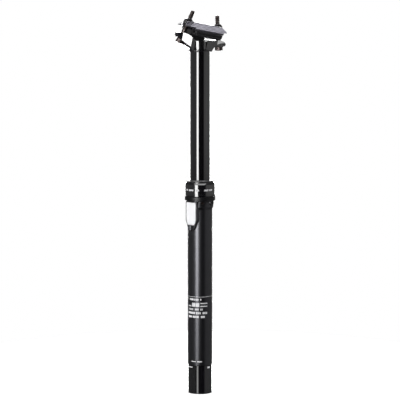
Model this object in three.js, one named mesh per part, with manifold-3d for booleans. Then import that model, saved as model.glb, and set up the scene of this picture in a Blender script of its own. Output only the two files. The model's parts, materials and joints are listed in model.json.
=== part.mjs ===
// Height-adjustable (dropper) seatpost for a bicycle, in millimetres, +Z up.
//
// The origin is on the post's axis at its lower end. +X points forwards, towards the saddle's nose.
// The outer tube is clamped in the bicycle's seat tube. The mast slides in it on bushings and three
// keys, and carries a two-bolt saddle clamp. A sealed gas cartridge inside the mast lifts it. Its
// valve is opened from below by a lever, which a cord pulls up when the remote's cable turns a spool
// behind the cover near the top of the outer tube.
import * as THREE from 'three';
import { mergeVertices } from 'three/addons/utils/BufferGeometryUtils.js';
import Module from 'manifold-3d';

const wasm = await Module();
wasm.setup();

// ---------------------------------------------------------------- driving dimensions

const degree = Math.PI / 180;
const roundSides = 48; // sides of the large round parts
const smallSides = 20; // sides of pins, screws and holes
const gap = 0.3; // clearance between pieces that rest on each other

// Outer tube and foot
const tubeRadius = 15.8;
const boreRadius = 13.8;
const tubeBottom = 37.2;
const neckRadius = 17.2;
const neckBottom = 243;
const flangeRadius = 19.5;
const flangeBottom = 251;
const flangeTop = 256.2;
const threadRadius = 16.7;
const threadTop = 267;
const bearingSeatRadius = 15.3;
const bearingSeatBottom = 244.5;
const footRadius = 15.6;
const footWebBottom = 27.5;
const footWebTop = 36;
const footTop = 36.9;

// Mast and cartridge
const mastRadius = 12.7;
const mastBoreRadius = 10.7;
const mastBottom = 198;
const mastTop = 441.7;
const cartridgeRadius = 9.4;
const cartridgeBoreRadius = 8;
const cartridgeBottom = 204;
const cartridgeTop = 424;
const rodRadius = 3.5;
const rodBottom = 21.5;
const rodTop = 228.5;

// Keys that stop the mast turning
const keyAngles = [60, 180, 300];
const keyWidth = 2.8;
const keyBottom = 222;
const keyTop = 236;
const keyOuter = 14.5;

// Actuator: n points out of the cover, t runs across it, anticlockwise seen from above
const actuatorAngle = 214; // of n, anticlockwise from +X
const blockFront = 18.9;
const pocketFloor = 15;
const spoolHeight = 235.6;
const spoolRadius = 6;
const cordOffset = 4.4; // the cord's distance from the spool's axis
const cordRadius = 0.4;
const cordRunRadius = 13.95; // where the cord runs down the outer tube's bore
const inletOut = 17.2;
const inletAcross = -1.5;
const lockScrewAngles = [48.8, 98];
const lockScrewHeight = 248.6;

// Valve lever in the foot: m points from the post's axis to the cord
const cordAngle = Math.atan2(cordOffset, Math.sqrt(cordRunRadius ** 2 - cordOffset ** 2));
const cordEndRadius = 12.6;
const leverPivotRadius = 9;
const leverHeight = 10;

// Saddle head: u runs along the saddle's rails, w is square to them
const headTilt = 11.4; // nose-down lean of the clamp against the mast, in degrees
const headOrigin = new THREE.Vector3(-0.85, 0, 451);
const baseRingRadius = 14.5;
const neckOuter = 13;
const headBottom = 442;
const railSpacing = 44;
const railRadius = 3.5;
const railHeight = 15.7;
const cradleCentre = 29.6;
const cradleRadius = 27;
const keelEnd = 3; // how far forwards of the middle the lower clamp's keel reaches
const keelHalf = 8; // half the keel's width
const boltLean = 14.4; // degrees from w, towards the clamp's middle
const boltFoot = 26.5; // u where each bolt's axis crosses w = 0
const boltRadius = 2.95;
const boltHeadRadius = 5;
const boltHeadTop = 1.5; // along the bolt from w = 0
const boltHeadBottom = -3.5;
const boltTip = 41;
const washerCentre = 3.2;
const washerRadius = 4.2;
const washerLength = 8.8;
const nutHeight = 24.8;
const nutRadius = 5;
const nutLength = 12;
const clampSplit = 15.9; // w of the gap between the clamp's halves
const clampHalfLength = 24.2;
const flangeHalf = 29; // half the clamp's width across both flanges
const lowerClampFront = 19;
const lowerClampRear = -17.5;
const keelTop = 10.5; // w of the clamp's underside beside the keel
const keelHollowHalf = 5.4;

// ---------------------------------------------------------------- solids and placing

/** A closed three.js geometry as a manifold-3d solid. */
function toSolid(geometry) {
  const bare = geometry.index ? geometry.toNonIndexed() : geometry.clone();
  bare.deleteAttribute('normal');
  bare.deleteAttribute('uv');
  const merged = mergeVertices(bare, 1e-4);
  return new wasm.Manifold(new wasm.Mesh({
    numProp: 3,
    vertProperties: merged.attributes.position.array,
    triVerts: new Uint32Array(merged.index.array),
  }));
}

/** A manifold-3d solid as a three.js geometry. */
function toGeometry(solid) {
  const mesh = solid.getMesh();
  const positions = new Float32Array(mesh.numVert * 3);
  for (let i = 0; i < mesh.numVert; i++) {
    positions.set(mesh.vertProperties.subarray(i * mesh.numProp, i * mesh.numProp + 3), i * 3);
  }
  return new THREE.BufferGeometry()
    .setAttribute('position', new THREE.BufferAttribute(positions, 3))
    .setIndex(new THREE.BufferAttribute(new Uint32Array(mesh.triVerts), 1));
}

/** base joined with more, then cut by each of the tools, all given as geometries. */
function carve(base, more, tools) {
  let solid = toSolid(base);
  for (const piece of more) solid = solid.add(toSolid(piece));
  for (const tool of tools) solid = solid.subtract(toSolid(tool));
  return toGeometry(solid);
}

/** The part of a that is also in b. */
function common(a, b) {
  return toGeometry(toSolid(a).intersect(toSolid(b)));
}

/** A profile of [radius, z] points turned about Z. It closes on itself, anticlockwise or clockwise. */
function turned(profile, sides = roundSides) {
  const area = profile.reduce((sum, [r, z], i) => {
    const [nextR, nextZ] = profile[(i + 1) % profile.length];
    return sum + r * nextZ - nextR * z;
  }, 0);
  const ordered = area > 0 ? profile : [...profile].reverse();
  const points = [...ordered, ordered[0]].map(([r, z]) => new THREE.Vector2(r, z));
  return new THREE.LatheGeometry(points, sides).rotateX(Math.PI / 2);
}

/** A tube or ring about Z. */
function ring(inner, outer, bottom, top, sides = roundSides) {
  return turned([[inner, bottom], [outer, bottom], [outer, top], [inner, top]], sides);
}

/** A rod about Z. */
function rod(radius, bottom, top, sides = smallSides) {
  return new THREE.CylinderGeometry(radius, radius, top - bottom, sides)
    .rotateX(Math.PI / 2)
    .translate(0, 0, (bottom + top) / 2);
}

/** A rod along X, from one x to another. */
function rodAlongX(radius, from, to, sides = smallSides) {
  return new THREE.CylinderGeometry(radius, radius, to - from, sides)
    .rotateZ(Math.PI / 2)
    .translate((from + to) / 2, 0, 0);
}

/** A rod along Y, centred on y = 0. */
function rodAlongY(radius, length, sides = smallSides) {
  return new THREE.CylinderGeometry(radius, radius, length, sides);
}

/** A box between two corners. */
function boxBetween([x0, y0, z0], [x1, y1, z1]) {
  return new THREE.BoxGeometry(x1 - x0, y1 - y0, z1 - z0)
    .translate((x0 + x1) / 2, (y0 + y1) / 2, (z0 + z1) / 2);
}

function outline(points) {
  return new THREE.Shape(points.map(([x, y]) => new THREE.Vector2(x, y)));
}

/** An outline of [x, z] points extruded along Y, centred on y = 0. */
function sidePrism(points, width) {
  return new THREE.ExtrudeGeometry(outline(points), { depth: width, bevelEnabled: false })
    .translate(0, 0, -width / 2)
    .rotateX(Math.PI / 2);
}

/** An outline of [x, y] points extruded up Z. */
function planPrism(points, bottom, top) {
  return new THREE.ExtrudeGeometry(outline(points), { depth: top - bottom, bevelEnabled: false })
    .translate(0, 0, bottom);
}

/** An outline of [y, z] points extruded along X, with an optional bevel round its front edge. */
function frontPrism(points, from, to, bevel = 0) {
  const alongX = new THREE.Matrix4().makeBasis(
    new THREE.Vector3(0, 1, 0),
    new THREE.Vector3(0, 0, 1),
    new THREE.Vector3(1, 0, 0),
  );
  const settings = { depth: to - from, bevelEnabled: false };
  if (bevel > 0) {
    settings.depth = to - from - 2 * bevel;
    settings.bevelEnabled = true;
    settings.bevelSize = bevel;
    settings.bevelOffset = -bevel;
    settings.bevelThickness = bevel;
    settings.bevelSegments = 1;
  }
  return new THREE.ExtrudeGeometry(outline(points), settings)
    .applyMatrix4(alongX)
    .translate(from + bevel, 0, 0);
}

/** Points on an arc, both ends included. Angles are in degrees. */
function arc([x, y], radius, start, end, count) {
  return Array.from({ length: count + 1 }, (_, i) => {
    const angle = (start + ((end - start) * i) / count) * degree;
    return [x + radius * Math.cos(angle), y + radius * Math.sin(angle)];
  });
}

const mirrored = (points) => points.map(([x, y]) => [-x, y]).reverse();
const turnedBy = (geometry, degrees) => geometry.rotateZ(degrees * degree);

const finishes = {
  glossBlack: [0x101013, 0.12, 0.9],
  satinBlack: [0x1a1a1d, 0.38, 0.8],
  forgedBlack: [0x232327, 0.3, 0.85],
  forgedGrey: [0x5c5c63, 0.4, 0.85],
  blackSteel: [0x17171a, 0.28, 0.9],
  steel: [0x9a9ca0, 0.3, 1],
  alloy: [0xb9bcc2, 0.35, 1],
  plate: [0xd9dade, 0.3, 0.9],
  brass: [0xb08d4a, 0.35, 1],
  polymer: [0x3a3d42, 0.6, 0],
  rubber: [0x141416, 0.55, 0],
  cord: [0xc9b458, 0.8, 0],
};

function mesh(name, geometry, finish) {
  const [color, roughness, metalness] = finishes[finish];
  const made = new THREE.Mesh(
    geometry,
    new THREE.MeshStandardMaterial({ color, roughness, metalness }),
  );
  made.name = name;
  return made;
}

// ---------------------------------------------------------------- outer tube and what it holds

const blockOutline = [
  [8.9, 250.8], [-8.9, 250.8], [-8.9, 226], [-7.4, 222], [-5.8, 217], [-4, 213.6],
  [4, 213.6], [5.8, 217], [7.4, 222], [8.9, 226],
];
const coverOutline = [
  [7.4, 249.2], [-7.4, 249.2], [-7.4, 226.5], [-6.2, 222.2], [-5, 220.2],
  [5, 220.2], [6.2, 222.2], [7.4, 226.5],
];

function outerTube() {
  const body = turned([
    [boreRadius, tubeBottom], [tubeRadius - 0.5, tubeBottom], [tubeRadius, tubeBottom + 0.5],
    [tubeRadius, neckBottom - 3.5], [neckRadius, neckBottom], [neckRadius, flangeBottom - 1.4],
    [flangeRadius, flangeBottom], [flangeRadius, flangeTop], [threadRadius, flangeTop],
    [threadRadius, threadTop], [bearingSeatRadius, threadTop],
    [bearingSeatRadius, bearingSeatBottom], [boreRadius, bearingSeatBottom],
  ]);
  const block = frontPrism(blockOutline, 10, blockFront, 0.7);
  const inletBoss = rod(3.4, 213.6, 222).translate(inletOut, inletAcross, 0);
  const lockBosses = lockScrewAngles.map((angle) => turnedBy(
    rodAlongX(4.4, 15.5, 18).translate(0, 0, lockScrewHeight),
    angle,
  ));

  const coverRecess = frontPrism(
    coverOutline.map(([y, z]) => [y + Math.sign(y) * gap, z + (z > 235 ? gap : -gap)]),
    blockFront - 1.2,
    blockFront + 2,
  );
  const spoolPocket = rodAlongX(spoolRadius + 0.9, pocketFloor, blockFront, 32)
    .translate(0, 0, spoolHeight);
  const cablePocket = boxBetween([pocketFloor + 0.6, -6, 221.5], [blockFront, 6, spoolHeight]);
  const cableHole = rod(1, 219, 222.5).translate(inletOut, inletAcross, 0);
  const inletBore = rod(2.7, 212, 220.2).translate(inletOut, inletAcross, 0);
  const pivotHole = rodAlongX(1.9, 14.1, blockFront).translate(0, 0, spoolHeight);
  const cordSlot = boxBetween([12.4, cordOffset - 0.9, 221.6], [16.7, cordOffset + 0.9, spoolHeight]);
  const cordGroove = rod(0.85, tubeBottom - 1, spoolHeight, 12).translate(
    cordRunRadius * Math.cos(cordAngle),
    cordRunRadius * Math.sin(cordAngle),
    0,
  );
  const keyways = keyAngles.map((angle) => turnedBy(
    boxBetween([11, -keyWidth / 2 - 0.3, 44.5], [keyOuter + 0.25, keyWidth / 2 + 0.3, 245]),
    angle,
  ));
  const lockHoles = lockScrewAngles.flatMap((angle) => [
    turnedBy(rodAlongX(2.3, 14, 19).translate(0, 0, lockScrewHeight), angle),
    turnedBy(rodAlongX(4.7, 18, 23, 32).translate(0, 0, lockScrewHeight), angle),
  ]);
  return carve(body, [block, inletBoss, ...lockBosses], [
    rod(boreRadius, 200, bearingSeatBottom + 0.1, roundSides).rotateZ(Math.PI / 2),
    rod(bearingSeatRadius, bearingSeatBottom, threadTop + 1, roundSides).rotateZ(Math.PI / 2),
    coverRecess, spoolPocket, cablePocket, cableHole, inletBore, pivotHole, cordSlot, cordGroove,
    ...keyways, ...lockHoles,
  ]);
}

function collar() {
  return turned([
    [17, 256.5], [19.1, 256.5], [19.3, 256.9], [19.3, 272.2], [17.6, 273.8], [17.3, 275],
    [14.6, 275], [14.6, 268.4], [17, 268.4],
  ]);
}

function wiperSeal() {
  return turned([
    [13.4, 270.4], [14.3, 270.4], [14.3, 275.3], [17.6, 275.3], [17.8, 275.8], [17.4, 276.5],
    [13.8, 276.7], [12.95, 277.5], [12.95, 276.4], [13.4, 275.4],
  ]);
}

function rollerCage(rollerAngles, rollerCircle) {
  const pockets = rollerAngles.map((angle) => turnedBy(
    boxBetween([12, -0.8, 247.2], [15, 0.8, 255.8]),
    angle,
  ));
  return carve(ring(rollerCircle - 0.45, rollerCircle + 0.45, 246, 257), [], pockets);
}

function footSleeve() {
  const body = turned([
    [rodRadius + 0.4, footWebBottom], [13.9, footWebBottom], [13.9, 0], [14.8, 0],
    [footRadius, 0.8], [footRadius, footTop], [13.6, footTop], [13.6, 43.5], [11.5, 43.5],
    [11.5, footWebTop], [rodRadius + 0.4, footWebTop],
  ]);
  const lugs = [-1, 1].map((side) => turnedBy(
    boxBetween([-11.6, side > 0 ? 2.5 : -4.7, 7], [-6.6, side > 0 ? 4.7 : -2.5, footWebBottom + 1]),
    cordAngle / degree,
  ));
  const pinHole = turnedBy(
    rodAlongY(1.8, 12).translate(-leverPivotRadius, 0, leverHeight),
    cordAngle / degree,
  );
  const cordSlot = turnedBy(
    boxBetween([11.2, -1, footWebBottom - 1], [14.4, 1, 44]),
    cordAngle / degree,
  );
  return carve(body, lugs, [pinHole, cordSlot]);
}

function pistonRod() {
  return turned([
    [1.5, rodBottom], [rodRadius, rodBottom], [rodRadius, footWebTop + gap],
    [6, footWebTop + gap], [6, footWebTop + 2.6], [rodRadius, footWebTop + 2.6],
    [rodRadius, rodTop], [1.5, rodTop],
  ], 32);
}

function hexNut(inner, acrossCorners, bottom, top) {
  return carve(
    new THREE.CylinderGeometry(acrossCorners / 2, acrossCorners / 2, top - bottom, 6)
      .rotateX(Math.PI / 2).translate(0, 0, (bottom + top) / 2),
    [],
    [rod(inner, bottom - 1, top + 1)],
  );
}

/** A helical compression spring about Z. */
function spring(coilRadius, wireRadius, bottom, top, turns) {
  class Helix extends THREE.Curve {
    getPoint(t, target = new THREE.Vector3()) {
      const angle = 2 * Math.PI * turns * t;
      return target.set(
        coilRadius * Math.cos(angle),
        coilRadius * Math.sin(angle),
        bottom + wireRadius + (top - bottom - 2 * wireRadius) * t,
      );
    }
  }
  const wire = new THREE.Shape().absarc(0, 0, wireRadius, 0, 2 * Math.PI);
  return new THREE.ExtrudeGeometry(wire, {
    extrudePath: new Helix(), steps: turns * 10, curveSegments: 3, bevelEnabled: false,
  });
}

/** The cord from the spool down the outer tube to the knot under the valve lever. */
function linkCord() {
  const spoolSide = 16.1;
  const runOut = cordRunRadius * Math.cos(cordAngle);
  const endOut = cordEndRadius * Math.cos(cordAngle);
  const endAcross = cordEndRadius * Math.sin(cordAngle);
  const route = new THREE.CurvePath();
  const points = [
    [spoolSide, cordOffset, spoolHeight], [spoolSide, cordOffset, 226],
    [runOut, cordOffset, 222.8], [runOut, cordOffset, 47], [endOut, endAcross, 24],
    [endOut, endAcross, 8.1],
  ].map(([x, y, z]) => new THREE.Vector3(x, y, z));
  for (let i = 0; i + 1 < points.length; i++) route.add(new THREE.LineCurve3(points[i], points[i + 1]));
  const smooth = new THREE.CatmullRomCurve3(route.getSpacedPoints(70), false, 'centripetal');
  const section = new THREE.Shape().absarc(0, 0, cordRadius, 0, 2 * Math.PI);
  const cord = new THREE.ExtrudeGeometry(section, {
    extrudePath: smooth, steps: 52, curveSegments: 4, bevelEnabled: false,
  });
  const knot = new THREE.SphereGeometry(1.25, 12, 8).translate(endOut, endAcross, 8);
  return carve(cord, [knot], []);
}

function cableSpool() {
  const disc = turned([
    [1.9, 15.2], [spoolRadius, 15.2], [spoolRadius, 15.5], [3.8, 15.5], [3.8, 16.7],
    [spoolRadius, 16.7], [spoolRadius, 17], [1.9, 17],
  ], 32);
  const alongX = new THREE.Matrix4().makeRotationY(Math.PI / 2);
  const screwHole = rodAlongX(0.95, 15, 17.5, 12).translate(0, -2.9, 0);
  return carve(disc.applyMatrix4(alongX), [], [screwHole]);
}

function spoolScrew() {
  return turned([[0, 14.3], [1.6, 14.3], [1.6, 17.2], [2.8, 17.2], [2.8, 17.7], [0, 17.7]], 24)
    .rotateY(Math.PI / 2);
}

function valveLever() {
  const arm = sidePrism([
    [-11.4, 8], [-11.4, 11.6], [-9.6, 12.6], [13.2, 12.2], [13.2, 9.2], [6, 8.2], [-8, 7.4],
  ], 4.2);
  const pinHole = rodAlongY(1.8, 6).translate(-leverPivotRadius, 0, leverHeight);
  const cordSlot = boxBetween([11.7, -0.8, 7], [14, 0.8, 14]);
  const knotSeat = boxBetween([11, -1.8, 6], [14, 1.8, 9.5]);
  return carve(arm, [], [pinHole, cordSlot, knotSeat]);
}

// ---------------------------------------------------------------- mast and cartridge

function mastTube() {
  const body = turned([
    [mastBoreRadius, mastBottom], [12.5, mastBottom], [mastRadius, mastBottom + 0.4],
    [mastRadius, 200], [12.2, 200], [12.2, 218], [mastRadius, 218], [mastRadius, mastTop],
    [mastBoreRadius, mastTop],
  ]);
  const pockets = keyAngles.map((angle) => turnedBy(
    boxBetween([11.6, -keyWidth / 2 - gap, keyBottom - gap], [14, keyWidth / 2 + gap, keyTop + gap]),
    angle,
  ));
  return carve(body, [], pockets);
}

function lowerBushing() {
  const split = turnedBy(boxBetween([11, -1.3, 199], [15, 1.3, 219]), cordAngle / degree);
  return carve(ring(12.4, 13.55, 200.3, 217.7), [], [split]);
}

function guideKey() {
  return boxBetween([11.95, -keyWidth / 2, keyBottom], [keyOuter, keyWidth / 2, keyTop]);
}

function floatingPiston() {
  return turned([
    [0, 380], [7.8, 380], [7.8, 382.2], [6.9, 382.2], [6.9, 383.8], [7.8, 383.8], [7.8, 386],
    [0, 386],
  ], 32);
}

// ---------------------------------------------------------------- saddle head

/** The angle, in degrees, at which the cradle's circle reaches a given u. */
const cradleAngle = (u, radius) => 270 + Math.asin(u / radius) / degree;

/** The head's arms, seen from the side, as [u, w] points. The front arm lies lower than the rear. */
function headSide() {
  const radius = cradleRadius + gap;
  return [
    ...arc([0, cradleCentre], radius, cradleAngle(-17, radius), cradleAngle(1, radius), 12),
    [3.4, 5.2], [8, 6.4], [14, 7.7], [19.9, 8.5], [22, 9.1], [25.5, 9.6], [31.4, 8.6], [33.5, 5.7],
    [32.9, 3.4], [30, 1.6], [21, 0.9], [17.6, -0.6], [16, -3.4], [14.8, -7], [12.5, -11],
    [-8.5, -11], [-11.5, -9.2], [-26, -1.4], [-31, 2],
    [-34, 4.2], [-34.8, 6.2], [-32.4, 9.4], [-25.5, 10.4], [-20.5, 9.6],
  ];
}

/** The head's arms, seen from above: each tapers to its bolt, and the rear one stands off the neck. */
function headPlan() {
  const nearSide = [
    [34.8, -4.6], [27, -6.1], [13.5, -10.8], [6, -12.7], [-8.6, -9.6], [-13.8, -11.2],
    [-27, -5.4], [-34.8, -4.6],
  ];
  return [...nearSide, ...nearSide.map(([x, y]) => [x, -y]).reverse()];
}

function seatHead() {
  const tilt = new THREE.Matrix4().makeRotationY(headTilt * degree).setPosition(headOrigin);
  const arms = common(sidePrism(headSide(), 40), planPrism(headPlan(), -20, 20)).applyMatrix4(tilt);
  const neck = turned([
    [0, 425], [10.4, 425], [10.4, headBottom], [baseRingRadius - 0.6, headBottom],
    [baseRingRadius, headBottom + 0.7], [baseRingRadius, headBottom + 1.5],
    [neckOuter, headBottom + 2.4], [neckOuter, 453.5], [0, 453.5],
  ]);
  const cradleCut = rodAlongY(cradleRadius + gap, 2 * (keelHalf + gap), 96).translate(0, 0, cradleCentre);
  const belowBase = ring(10.4, 40, 420, headBottom);
  const boltCuts = [-1, 1].flatMap((side) => {
    const along = new THREE.Matrix4().makeRotationY(-side * boltLean * degree)
      .setPosition(side * boltFoot, 0, 0);
    const place = (geometry) => geometry.applyMatrix4(along).applyMatrix4(tilt);
    return [
      place(boxBetween([-4.2, -3.4, -8], [4.2, 3.4, 20])),
      place(rodAlongY(washerRadius + gap, washerLength + 2 * gap, 32).translate(0, 0, washerCentre)),
      place(boxBetween([-6.4, -5.4, -12], [6.4, 5.4, boltHeadTop + gap])),
    ];
  });
  return carve(arms, [neck], [cradleCut.applyMatrix4(tilt), belowBase, ...boltCuts]);
}

/** The space for one saddle rail, with one of its sides flat against the rail's lowest line. */
function railChannel(side) {
  const sides = 32;
  return rodAlongX(railRadius + 0.1, -40, 40, sides)
    .rotateX(Math.PI / sides)
    .translate(0, (side * railSpacing) / 2, railHeight);
}

/** Half of the upper clamp's end view, as [y, w] points, from the middle outwards. */
const upperClampHalf = [
  [15, 18.8], [15, clampSplit + gap], [28.2, clampSplit + gap], [flangeHalf, 16.8],
  [flangeHalf, 18.2], [28.3, 18.7],
  [28.3, 20.2], [27.4, 20.8], [27, 22.2], [25.9, 22.9], [25.2, 24.2], [23.6, 25.2], [21, 26],
  [14.5, 26.4],
];

function upperClamp() {
  const section = [...upperClampHalf, ...mirrored(upperClampHalf)];
  const beaks = [-1, 1].flatMap((side) => [
    sidePrism([[side * 17, 27], [side * 17, 30], [side * 32, 30], [side * 32, 14]], 80),
    sidePrism([
      [side * 19.8, 10], [side * 19.8, 17.6], [side * 20.8, 19.2], [side * 32, 19.8], [side * 32, 10],
    ], 80),
  ]);
  const flanges = carve(frontPrism(section, -clampHalfLength, clampHalfLength), [], beaks);
  const ears = [-1, 1].map((side) => sidePrism([
    [side * 10, 18.8], [side * 23.4, 18.8], [side * 24.4, 20], [side * 24.4, 23.8],
    [side * 23.4, 25.4], [side * 10, 26.3],
  ], 15.2));
  const nutOut = boltFoot - Math.tan(boltLean * degree) * nutHeight;
  const cuts = [-1, 1].flatMap((side) => [
    railChannel(side),
    rodAlongY(nutRadius + gap, nutLength + 0.8, 32).translate(side * nutOut, 0, nutHeight),
    boxBetween(
      [side > 0 ? nutOut - 4.6 : -40, -3.5, 10],
      [side > 0 ? 40 : -nutOut + 4.6, 3.5, 40],
    ),
    boxBetween([-9.5, side > 0 ? 3.4 : -13.4, 10], [9.5, side > 0 ? 13.4 : -3.4, 40]),
  ]);
  return carve(flanges, ears, cuts);
}

function lowerClamp() {
  const top = clampSplit - gap;
  const flanges = sidePrism([
    [lowerClampFront, top], [lowerClampRear + 0.5, top], [lowerClampRear, 11.6], [-15.6, 9.4],
    [14.5, 8.9], [17.4, 10.2], [lowerClampFront - 0.2, 12.6],
  ], 2 * flangeHalf);
  const underside = boxBetween([-40, -14, 0], [40, 14, keelTop]);
  const keel = sidePrism([
    [18, top], [-18, top],
    ...arc([0, cradleCentre], cradleRadius, cradleAngle(-18, cradleRadius),
      cradleAngle(keelEnd, cradleRadius), 14),
    [keelEnd, keelTop], [18, keelTop],
  ], 2 * keelHalf);
  const ends = [-1, 1].map((end) => boxBetween(
    [end > 0 ? 16.8 : -40, -10.1, 0],
    [end > 0 ? 40 : -16.8, 10.1, 40],
  ));
  const hollow = boxBetween([-9, -keelHollowHalf, 12], [9, keelHollowHalf, 20]);
  const channels = [-1, 1].map(railChannel);
  return carve(carve(flanges, [], [underside]), [keel], [...channels, ...ends, hollow]);
}

function clampBolt() {
  const body = turned([
    [0, boltHeadBottom], [boltHeadRadius - 0.4, boltHeadBottom], [boltHeadRadius, boltHeadBottom + 0.4],
    [boltHeadRadius, boltHeadTop], [boltRadius, boltHeadTop], [boltRadius, boltTip - 0.5],
    [boltRadius - 0.5, boltTip], [0, boltTip],
  ], 24);
  const socket = new THREE.CylinderGeometry(2.6, 2.6, 3, 6).rotateX(Math.PI / 2)
    .translate(0, 0, boltHeadBottom + 1);
  return carve(body, [], [socket]);
}

/** Half-round seat between a clamp bolt's head and the head's arm. */
function boltWasher() {
  const flat = boxBetween([-8, -8, -8], [8, 8, boltHeadTop + 0.05]);
  return carve(rodAlongY(washerRadius, washerLength, 32).translate(0, 0, washerCentre), [], [
    flat,
    rod(boltRadius + gap, -8, 16),
  ]);
}

function barrelNut() {
  return carve(rodAlongY(nutRadius, nutLength, 32), [], [rod(boltRadius + 0.45, -8, 8)]);
}

// ---------------------------------------------------------------- assembly

const post = new THREE.Group();

const rollerAngles = Array.from({ length: 8 }, (_, i) => 22.5 + 45 * i);
const rollerCircle = 13.55;

const actuator = new THREE.Group();
actuator.rotation.z = actuatorAngle * degree;
actuator.add(
  mesh('outer_tube', outerTube(), 'satinBlack'),
  mesh('collar', collar(), 'glossBlack'),
  mesh('wiper_seal', wiperSeal(), 'rubber'),
  mesh('upper_bushing', ring(12.95, 15, 258.5, 267.6), 'polymer'),
  mesh('clutch_sleeve', ring(14.25, 15, 245, 258), 'steel'),
  mesh('roller_cage', rollerCage(rollerAngles, rollerCircle), 'polymer'),
  mesh('foot_sleeve', footSleeve(), 'glossBlack'),
  mesh('piston_rod', pistonRod(), 'steel'),
  mesh('rod_nut', hexNut(rodRadius + 0.25, 12.4, 22.6, footWebBottom - gap), 'steel'),
  mesh('piston', ring(rodRadius + 0.2, 7.75, 218, 227, 32), 'alloy'),
  mesh('valve_pin', rod(1.15, 13.1, 224), 'steel'),
  mesh('actuator_cover', frontPrism(coverOutline, blockFront - 0.9, blockFront, 0.25), 'plate'),
  mesh('link_cord', linkCord(), 'cord'),
  mesh('mast_tube', mastTube(), 'glossBlack'),
  mesh('lower_bushing', lowerBushing(), 'polymer'),
  mesh('retaining_nut', ring(rodRadius + 1, 10.5, 198.6, 203.6, 32), 'alloy'),
  mesh(
    'cartridge_tube',
    ring(cartridgeBoreRadius, cartridgeRadius, cartridgeBottom, cartridgeTop, 32),
    'alloy',
  ),
  mesh('seal_head', ring(rodRadius + 0.15, 7.8, 204.3, 216, 32), 'alloy'),
  mesh('cartridge_cap', rod(7.8, 416, 423.6, 32), 'alloy'),
  mesh('floating_piston', floatingPiston(), 'alloy'),
);

rollerAngles.forEach((angle, i) => {
  const roller = mesh(`clutch_roller_${i + 1}`, rod(0.6, 247.5, 255.5, 10), 'steel');
  roller.position.set(
    rollerCircle * Math.cos(angle * degree),
    rollerCircle * Math.sin(angle * degree),
    0,
  );
  actuator.add(roller);
});

keyAngles.forEach((angle, i) => {
  const key = mesh(`guide_key_${i + 1}`, guideKey(), 'brass');
  key.rotation.z = angle * degree;
  actuator.add(key);
});

lockScrewAngles.forEach((angle, i) => {
  const socket = new THREE.CylinderGeometry(1.1, 1.1, 2, 6).rotateZ(Math.PI / 2).translate(17.5, 0, 0);
  const body = carve(rodAlongX(1.95, 15.35, 17.5), [], [socket]);
  const screw = mesh(`lock_screw_${i + 1}`, body, 'blackSteel');
  screw.position.z = lockScrewHeight;
  const turn = new THREE.Group();
  turn.rotation.z = angle * degree;
  turn.add(screw);
  actuator.add(turn);
});

const cableStop = mesh('cable_stop', turned([
  [1.9, 212.8], [2.35, 212.8], [2.35, 219.9], [0.8, 219.9], [0.8, 218.9], [1.9, 218.9],
], 24), 'blackSteel');
cableStop.position.set(inletOut, inletAcross, 0);
actuator.add(cableStop);

const spool = new THREE.Group();
spool.position.z = spoolHeight;
const clampScrew = mesh('cable_clamp_screw', rodAlongX(0.65, 15.5, 16.8, 12), 'blackSteel');
clampScrew.position.y = -2.9;
spool.add(
  mesh('cable_spool', cableSpool(), 'alloy'),
  mesh('spool_screw', spoolScrew(), 'blackSteel'),
  clampScrew,
);
actuator.add(spool);

const footMechanism = new THREE.Group();
footMechanism.rotation.z = cordAngle;
const leverPin = mesh('lever_pin', rodAlongY(1.5, 9.6), 'steel');
leverPin.position.set(-leverPivotRadius, 0, leverHeight);
const leverSpring = mesh('lever_spring', spring(2.1, 0.35, 12.7, footWebBottom - gap, 6), 'steel');
leverSpring.position.x = 9;
footMechanism.add(mesh('valve_lever', valveLever(), 'steel'), leverPin, leverSpring);
actuator.add(footMechanism);
post.add(actuator);

post.add(mesh('seat_head', seatHead(), 'forgedBlack'));

const clamp = new THREE.Group();
clamp.position.copy(headOrigin);
clamp.rotation.y = headTilt * degree;
clamp.add(
  mesh('lower_clamp', lowerClamp(), 'forgedBlack'),
  mesh('upper_clamp', upperClamp(), 'forgedGrey'),
);
for (const [end, side] of [['front', 1], ['rear', -1]]) {
  const boltLine = new THREE.Group();
  boltLine.position.x = side * boltFoot;
  boltLine.rotation.y = -side * boltLean * degree;
  const nut = mesh(`${end}_barrel_nut`, barrelNut(), 'blackSteel');
  nut.position.z = nutHeight / Math.cos(boltLean * degree);
  boltLine.add(
    mesh(`${end}_clamp_bolt`, clampBolt(), 'blackSteel'),
    mesh(`${end}_bolt_washer`, boltWasher(), 'blackSteel'),
    nut,
  );
  clamp.add(boltLine);
}
post.add(clamp);

export default post;
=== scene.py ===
"""Looks of a height-adjustable bicycle seatpost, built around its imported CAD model.

Pieces are modelled in millimetres, in the CAD model's frame, and scaled to metres when they are placed.
"""

import json
import math

import bpy
from mathutils import Matrix, Vector


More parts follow.
